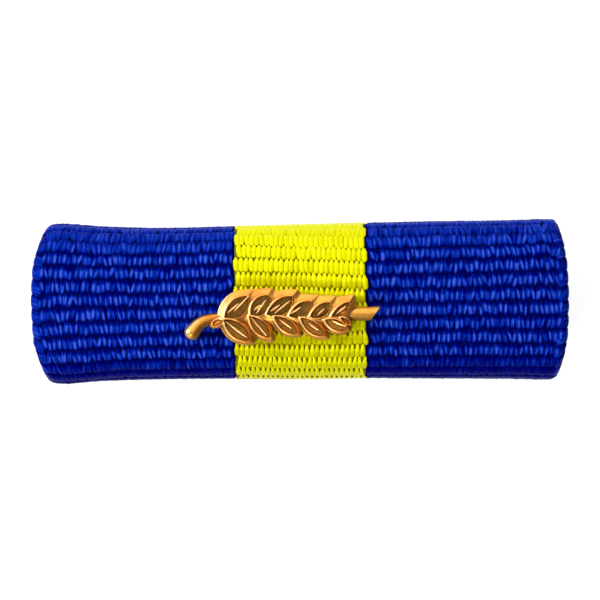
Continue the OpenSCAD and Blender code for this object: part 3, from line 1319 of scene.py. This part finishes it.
    # Places of the studs as shares of the length, then their sizes
    studs: tuple[Row, ...] = ((-0.16, -0.01), (0.20, -0.01))
    stud_radius: float = 0.4
    stud_length: float = 1.9
    stud_level: float = -0.73
    # Facets round and along a rod, steps of its path, rounds of smoothing, and how far before
    # and behind a place its direction is read
    rod_around: int = 28
    rod_rings: int = 44
    path_steps: int = 160
    path_rounds: int = 60
    path_probe: float = 0.05
    # Patina of a rod on its upper side, then the painted shade below: how much more, how sharply
    # that sets in and where
    rod_dark: float = 0.05
    under_dark: float = 0.75
    under_gain: float = 1.6
    under_shift: float = 0.35
    # Its bent end: how pale its painted highlight is, from which turn on, and the places where
    # that fades
    end_highlight: float = 1.6
    end_turn: float = 0.1
    end_fade: Row = (0.2, 2.0)

    def leaf_edges(self, leaf: Row, x: Numbers, y: Numbers) -> tuple[Numbers, Numbers]:
        """Distances into a leaf from its left and its right edge.

        Args:
            leaf: A row of the leaf table.
            x: Places along the sprig, in millimetres.
            y: Places across it.

        Returns:
            Distance inside the left and the right arc; below nought is outside.
        """
        base = np.array(leaf[0:2]) * self.length
        tip = np.array(leaf[2:4]) * self.length
        chord = float(np.linalg.norm(tip - base))
        way = (tip - base) / chord
        mid = (base + tip) / 2
        u = (x - mid[0]) * way[0] + (y - mid[1]) * way[1]
        v = -(x - mid[0]) * way[1] + (y - mid[1]) * way[0]
        left, right = leaf[4] * self.length, leaf[5] * self.length
        left_radius = (chord**2 / 4 + left**2) / (2 * left)
        right_radius = (chord**2 / 4 + right**2) / (2 * right)
        from_left = left_radius - np.hypot(u, v - left + left_radius)
        from_right = right_radius - np.hypot(u, v - right_radius + right)
        return from_left, from_right

    def tipward(self, leaf: Row, x: Numbers, y: Numbers) -> Numbers:
        """How far places lie along a leaf.

        Args:
            leaf: A row of the leaf table.
            x: Places along the sprig.
            y: Places across it.

        Returns:
            From nought near the leaf's base to one near its tip.
        """
        base, tip = np.array(leaf[0:2]) * self.length, np.array(leaf[2:4]) * self.length
        way = tip - base
        share = ((x - base[0]) * way[0] + (y - base[1]) * way[1]) / (way @ way)
        return smooth_step(*self.leaf_span, share)

    def flank_height(self, climb: Numbers, tipward: Numbers) -> Numbers:
        """Height of a flank.

        Args:
            climb: Shares of the way from the flank's foot to its top.
            tipward: Nought at the leaf's base and one at its tip.

        Returns:
            Heights above the sprig's back.
        """
        low = self.flank_base + (self.flank_low - self.flank_base) * tipward
        return self.shoulder - (self.shoulder - low) * (1 - climb) ** self.flank_curve

    def upper_band(self, x: Numbers, y: Numbers) -> tuple[Numbers, Numbers, Numbers]:
        """The one bright band with a softly waved edge that runs round all the upper leaves.

        Args:
            x: Places along the sprig.
            y: Places across it.

        Returns:
            Distance inside the band's outline, height and darkness of the patina and painted
            shade, below nought a painted highlight.
        """
        upper = [leaf for leaf in self.leaves if leaf[3] > 0]
        reach = [np.minimum(*self.leaf_edges(row, x, y)) + row[6] * self.length for row in upper]
        inside = self.band_blend * np.log(sum(np.exp(r / self.band_blend) for r in reach))
        width = upper[0][6] * self.length
        end = self.band_end * self.length
        full = smooth_step(end, self.band_full * self.length, x)
        height = np.where(inside > 0, self.flank_height(np.clip(inside / width, 0, 1), full), 0)
        # Between the leaves the band keeps some patina, and its end over the stem gets a painted
        # highlight
        first, last = (share * width for share in self.gap_span)
        gap = self.gap_dark * smooth_step(first, last, inside)
        pale = 1 - smooth_step(end, self.pale_to * self.length, x)
        return inside, height, gap - self.band_highlight * pale

    def relief(self, x: Numbers, y: Numbers) -> tuple[Numbers, Numbers, Numbers]:
        """Height of the relief.

        Args:
            x: Places along the sprig from its middle, in millimetres.
            y: Places across it.

        Returns:
            Distance inside the outline, height above the back and darkness of the patina and
            painted shade, below nought a painted highlight.
        """
        inside, height, dark = self.upper_band(x, y)
        for leaf in self.leaves:
            if leaf[3] > 0:
                continue
            edge = np.minimum(*self.leaf_edges(leaf, x, y))
            flank = leaf[6] * self.length
            climb = np.clip((edge + flank) / flank, 0, 1)
            slope = self.flank_height(climb, self.tipward(leaf, x, y))
            outer = (edge + flank > 0) & (edge <= 0) & (slope > height)
            height = np.where(outer, slope, height)
            dark = np.where(outer, self.lower_flank_shade + self.foot_dark * (1 - climb), dark)
            inside = np.maximum(inside, edge + flank)
        for number in range(len(self.leaves)):
            edge, top, shade = self.leaf_top(number, x, y)
            height = np.where(edge > 0, top, height)
            dark = np.where(edge > 0, shade, dark)
        return inside, height, dark

    def leaf_top(self, number: int, x: Numbers, y: Numbers) -> tuple[Numbers, Numbers, Numbers]:
        """The rim, the sunk field and the veins of one leaf.

        Args:
            number: The leaf's row in the table.
            x: Places along the sprig.
            y: Places across it.

        Returns:
            Distance inside the leaf, height and darkness of the patina and painted shade, below
            nought a painted highlight.
        """
        leaf = self.leaves[number]
        left, right = self.leaf_edges(leaf, x, y)
        edge = np.minimum(left, right)
        # The rims that face the stem are broader and get a painted highlight, as the veins do
        facing = left < right if leaf[3] > 0 else right < left
        painted_highlight = (1 - self.tipward(leaf, x, y)) * np.where(facing, 1.0, self.far_rim_highlight)
        into = np.clip(edge / (self.rim_width * (1 + self.rim_spread * painted_highlight)), 0, 1)
        rounding = 1 - np.clip(edge / (self.rim_round * self.rim_width), 0, 1)
        crown = 1 - self.rim_drop * rounding**2
        fall = smooth_step(self.rim_fall, 1.0, into)
        swell = np.clip((edge - self.rim_width) / self.swell_width, 0, 1)
        field = self.field_rise + self.field_swell * swell
        top = self.rim_rise * crown * (1 - fall) + field * fall
        shade = leaf[7] * fall - self.rim_highlight * painted_highlight * (1 - fall)
        for vein in self.veins:
            if vein[0] == number:
                bump = self.vein(vein, x, y)
                top = np.maximum(top, field + self.vein_rise * bump)
                # A vein loses its patina and gets a painted highlight
                shade = shade * (1 - np.sqrt(bump)) - self.vein_highlight * bump
        return edge, top, shade

    def vein(self, row: Row, x: Numbers, y: Numbers) -> Numbers:
        """Rounded ridge of one vein, from nought beside it to one on its crest.

        Args:
            row: A row of the vein table.
            x: Places along the sprig.
            y: Places across it.

        Returns:
            The ridge's share at each place.
        """
        a, b = np.array(row[1:3]) * self.length, np.array(row[3:5]) * self.length
        way = b - a
        t = np.clip(((x - a[0]) * way[0] + (y - a[1]) * way[1]) / (way @ way), 0, 1)
        off = np.hypot(x - a[0] - t * way[0], y - a[1] - t * way[1])
        half = self.vein_half * (self.vein_end + (1 - self.vein_end) * np.sin(math.pi * t))
        return np.sqrt(np.clip(1 - (off / half) ** 3, 0, 1))

    def build_relief(self) -> bmesh.types.BMesh:
        """Makes the leaves as a closed relief.

        Returns:
            The work mesh, still about the sprig's middle and in millimetres.
        """
        work = bmesh.new()
        columns = round(self.length * self.grid_length / self.grid)
        rows = round(self.length * self.grid_height / self.grid)
        bmesh.ops.create_grid(work, x_segments=columns, y_segments=rows, size=1.0)
        half_x, half_y = columns * self.grid / 2, rows * self.grid / 2
        centre = self.grid_middle * self.length
        for vert in work.verts:
            vert.co = Vector((vert.co.x * half_x + centre, vert.co.y * half_y, 0.0))
        spot = np.array([vert.co[:2] for vert in work.verts])
        inside, _, _ = self.relief(spot[:, 0], spot[:, 1])
        outside = -self.grid_outside * self.grid
        far = [vert for vert, deep in zip(work.verts, inside) if deep < outside]
        bmesh.ops.delete(work, geom=far, context="VERTS")
        loose = [vert for vert in work.verts if not vert.link_faces]
        bmesh.ops.delete(work, geom=loose, context="VERTS")
        # The cut grid's border is drawn on to the true outline
        border = [vert for vert in work.verts if vert.is_boundary]
        spot = np.array([vert.co[:2] for vert in border])
        for _ in range(self.grid_steps):
            spot = self.drawn_to_outline(spot)
        for vert, (x, y) in zip(border, spot):
            vert.co.x, vert.co.y = x, y
        spot = np.array([vert.co[:2] for vert in work.verts])
        _, height, dark = self.relief(spot[:, 0], spot[:, 1])
        height = np.maximum(height, self.flank_low)
        layer = work.verts.layers.float.new("patina_and_painted_light")
        for vert, rise, shade in zip(work.verts, height, dark):
            vert.co.z = rise
            vert[layer] = shade
        rim = [edge for edge in work.edges if edge.is_boundary]
        wall = bmesh.ops.extrude_edge_only(work, edges=rim)["geom"]
        for vert in kind_in(wall, bmesh.types.BMVert):
            vert.co.z = 0.0
        foot = [edge for edge in kind_in(wall, bmesh.types.BMEdge) if edge.is_boundary]
        bmesh.ops.holes_fill(work, edges=foot, sides=0)
        return work

    def drawn_to_outline(self, spot: Numbers) -> Numbers:
        """Moves border points on to the outline by one Newton step.

        Args:
            spot: Rows of two numbers, about the sprig's middle.

        Returns:
            The moved rows.
        """
        step = self.grid / 8
        here, _, _ = self.relief(spot[:, 0], spot[:, 1])
        right, _, _ = self.relief(spot[:, 0] + step, spot[:, 1])
        up, _, _ = self.relief(spot[:, 0], spot[:, 1] + step)
        slope = np.stack([right - here, up - here], axis=1) / step
        steep = np.maximum((slope**2).sum(axis=1), 0.25)
        move = -(here / steep)[:, None] * slope
        return spot + np.clip(move, -self.grid, self.grid)

    def build(self) -> bpy.types.Object:
        """Makes the sprig as one piece.

        Returns:
            The piece.
        """
        work = self.build_relief()
        self.add_stem(work)
        # The operator reads the stored normals, which are those from before the shaping
        work.normal_update()
        bmesh.ops.recalc_face_normals(work, faces=work.faces[:])
        middle = Vector((self.middle_x, self.middle_y, self.back))
        for vert in work.verts:
            vert.co = (vert.co + middle) * MM
        mesh = finished_mesh("leaf_sprig_relief", work)
        piece = make_piece("leaf_sprig_cast", mesh, self.finish.build())
        mesh.set_sharp_from_angle(angle=math.radians(self.sharp_angle))
        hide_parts("leaf_sprig")
        return piece

    def add_stem(self, work: bmesh.types.BMesh) -> None:
        """Adds the bent stem, the spine, the tip stub and the two studs to the relief.

        Args:
            work: The relief, about the sprig's middle.
        """
        self.sweep(work, self.stem, True)
        self.sweep(work, self.spine, True)
        self.cut_stub(work, self.sweep(work, self.stub, False))
        for x, y in self.studs:
            made = bmesh.ops.create_cone(
                work,
                cap_ends=True,
                segments=24,
                radius1=self.stud_radius,
                radius2=self.stud_radius,
                depth=self.stud_length,
            )
            for vert in made["verts"]:
                vert.co += Vector((x * self.length, y * self.length, self.stud_level))

    def sweep(
        self, work: bmesh.types.BMesh, rows: tuple[Row, ...], rounded: bool
    ) -> list[bmesh.types.BMVert]:
        """Adds a round rod that follows a short table.

        Args:
            work: The mesh that it is added to.
            rows: Place x and y as shares of the length, level and radius in millimetres.
            rounded: Whether its ends are round and not drawn to a flat point.

        Returns:
            The rod's vertices.
        """
        table = np.array(rows, float)
        table[:, :2] *= self.length
        leaps = np.linalg.norm(np.diff(table[:, :3], axis=0), axis=1)
        steps = np.concatenate([[0], np.cumsum(leaps)])
        total, first, last = steps[-1], table[0, 3], table[-1, 3]
        fine = np.linspace(0, total, self.path_steps)
        path = np.stack([np.interp(fine, steps, column) for column in table.T])
        for _ in range(self.path_rounds):
            path[:, 1:-1] = (path[:, :-2] + 2 * path[:, 1:-1] + path[:, 2:]) / 4

        def on_path(at: Numbers) -> Numbers:
            """Places on the smoothed path, as rows of three numbers."""
            return np.stack([np.interp(at, fine, column) for column in path[:3]], axis=1)

        around, rings = self.rod_around, self.rod_rings
        made = bmesh.ops.create_uvsphere(work, u_segments=around, v_segments=rings, radius=1.0)
        made = made["verts"]
        shape = np.array([vert.co for vert in made])
        share = 1 - np.arccos(np.clip(shape[:, 2], -1, 1)) / math.pi
        turn = np.arctan2(shape[:, 1], shape[:, 0])
        reach = share * (total + first + last) - first
        at = np.clip(reach, 0, total)
        ahead = on_path(np.clip(at + self.path_probe, 0, total))
        way = ahead - on_path(np.clip(at - self.path_probe, 0, total))
        way /= np.linalg.norm(way, axis=1)[:, None]
        over = reach - at
        cap = np.sqrt(np.clip(1 - (over / np.where(over < 0, first, last)) ** 2, 0, 1))
        pole = np.hypot(shape[:, 0], shape[:, 1]) < 1e-6
        size = np.interp(at, fine, path[3]) * np.where(pole, 0, cap if rounded else 1.0)
        side = np.stack([-way[:, 1], way[:, 0], np.zeros(len(way))], axis=1)
        up = np.cross(way, side)
        ring = np.cos(turn)[:, None] * side + np.sin(turn)[:, None] * up
        if not rounded:
            over = np.zeros_like(over)
        place = on_path(at) + way * over[:, None] + ring * size[:, None]
        place[:, 2] = np.maximum(place[:, 2], 0.0)
        # The side that faces down the bar is darkened with painted shade
        under = np.clip(self.under_gain * -ring[:, 1] + self.under_shift, 0, 1)
        shade = self.rod_dark + self.under_dark * under
        # The bent end gets a painted highlight where it faces away from the leaves
        outward = ring[:, 0] * cap + way[:, 0] * np.minimum(over, 0) / first
        painted_highlight = np.clip(-outward - self.end_turn, 0, 1) * (1 - smooth_step(*self.end_fade, reach))
        shade = shade - self.end_highlight * painted_highlight
        layer = work.verts.layers.float["patina_and_painted_light"]
        for vert, spot, dark in zip(made, place, shade):
            vert.co = Vector(spot)
            vert[layer] = dark
        return made

    def cut_stub(self, work: bmesh.types.BMesh, verts: list[bmesh.types.BMVert]) -> None:
        """Cuts the stub's end off on the slant and closes the cut.

        Args:
            work: The mesh.
            verts: The stub's vertices.
        """
        edges = dict.fromkeys(edge for vert in verts for edge in vert.link_edges)
        faces = dict.fromkeys(face for vert in verts for face in vert.link_faces)
        slant = math.radians(self.stub_slant)
        x, y = self.stub_cut
        cut = bmesh.ops.bisect_plane(
            work,
            geom=[*verts, *edges, *faces],
            plane_co=Vector((x * self.length, y * self.length, 0.0)),
            plane_no=Vector((math.cos(slant), -math.sin(slant), 0.0)),
            clear_outer=True,
        )["geom_cut"]
        bmesh.ops.holes_fill(work, edges=kind_in(cut, bmesh.types.BMEdge), sides=0)


@dataclass
class SteelParts:
    """The CAD part's own channel bar and pin fitting, which keep their shape."""

    bar: DrawnMetal
    pin: DrawnMetal

    def build(self) -> list[bpy.types.Object]:
        """Dresses both nodes.

        Returns:
            The two nodes.
        """
        dressed = []
        for node, finish in (("mounting_bar", self.bar), ("brooch_pin", self.pin)):
            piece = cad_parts[node]
            material = finish.build()
            for slot in piece.material_slots:
                slot.material = material
            dressed.append(piece)
        return dressed


@dataclass
class Studio:
    """Plain pale floor, soft lights and the camera straight above the bar, in metres."""

    floor: LightTable
    floor_size: float = 3.0
    lens: float = 240.0
    sensor: float = 36.0
    near: float = 0.01
    far: float = 10.0
    view_width: float = 39.08 * MM
    focus_level: float = 5.0 * MM
    shift_up: float = 0.1 * MM
    roll: float = -0.5
    world: float = 0.2
    # The level that the lights face, then each light's name, place, side and watts
    aim_level: float = 4.0 * MM
    lights: tuple[tuple[str, Row, float, float], ...] = (
        ("key_light", (-0.07, 0.30, 0.23), 0.46, 1.16),
        ("side_light", (-0.27, 0.06, 0.13), 0.14, 0.7),
        ("fill_light", (-0.12, -0.24, 0.22), 0.06, 0.7),
        ("top_light", (0.02, 0.03, 0.42), 0.12, 0.25),
    )

    def build(self) -> None:
        """Makes the floor, the lights, the sky and the camera."""
        work = bmesh.new()
        bmesh.ops.create_grid(work, x_segments=8, y_segments=8, size=self.floor_size / 2)
        mesh = finished_mesh("floor", work)
        mesh.materials.append(self.floor.build())
        add_object("floor", mesh)
        for light in self.lights:
            self.add_light(*light)
        sky = bpy.data.worlds.new("sky")
        sky.use_nodes = True
        sky.node_tree.nodes.clear()
        glow = add_node(
            sky.node_tree, "Background", {"Color": linear(WHITE), "Strength": self.world}
        )
        add_node(sky.node_tree, "OutputWorld", {}, {"Surface": glow.outputs[0]})
        scene = bpy.context.scene
        scene.world = sky
        scene.view_settings.view_transform = "Standard"
        scene.view_settings.look = "None"
        data = bpy.data.cameras.new("camera")
        data.lens, data.sensor_width = self.lens, self.sensor
        data.clip_start, data.clip_end = self.near, self.far
        camera = add_object("camera", data)
        away = self.view_width * self.lens / self.sensor
        camera.location = (0.0, self.shift_up, self.focus_level + away)
        camera.rotation_euler = (0.0, 0.0, math.radians(self.roll))
        scene.camera = camera

    def add_light(self, name: str, place: Row, size: float, watts: float) -> None:
        """Adds a square, soft and white light that faces the bar.

        Args:
            name: The light's name.
            place: Its place in metres.
            size: Its side in metres.
            watts: Its power.
        """
        data = bpy.data.lights.new(name, "AREA")
        data.shape, data.size, data.energy = "SQUARE", size, watts
        lamp = add_object(name, data)
        lamp.location = place
        towards = Vector((0.0, 0.0, self.aim_level)) - Vector(place)
        lamp.rotation_euler = towards.to_track_quat("-Z", "Y").to_euler()


def main() -> None:
    """Builds the sub-assemblies in order and reports each piece."""
    logging.basicConfig(level=logging.INFO, format="%(name)s: %(message)s")
    Studio(LightTable()).build()
    # Each yarn's stops run from the painted shade where floats dive to the painted highlight on
    # their crests
    blue = FilamentYarn(
        "blue_filament_polyester",
        (
            (0.30, "#00005E"),
            (0.45, "#000A70"),
            (0.58, "#021E8C"),
            (0.74, "#0A2EA2"),
            (0.97, "#3854C6"),
        ),
        "#3A6BFF",
        shine=0.015,
        streak=0.58,
    )
    yellow = FilamentYarn(
        "yellow_filament_polyester",
        (
            (0.16, "#6A6600"),
            (0.34, "#A8A600"),
            (0.56, "#CCCC00"),
            (0.84, "#ECEC12"),
            (1.00, "#FFFF48"),
        ),
        "#FFFF20",
        shine=0.06,
        streak=0.16,
        mottle=0.1,
    )
    pieces = WovenRibbon(RibbonForm(), blue, yellow, GroundWeave()).build()
    pieces.append(LeafSprig(CastGilt()).build())
    bar = DrawnMetal("rolled_zinc_plated_steel", "#B9BCC0", "#8E9196", 0.38)
    pin = DrawnMetal("bright_nickel_plated_steel", "#D8D5CC", "#B4B0A6", 0.26)
    pieces += SteelParts(bar, pin).build()
    for piece in pieces:
        log.info("%s: %d faces", piece.name, len(piece.data.polygons))


if __name__ == "__main__":
    main()
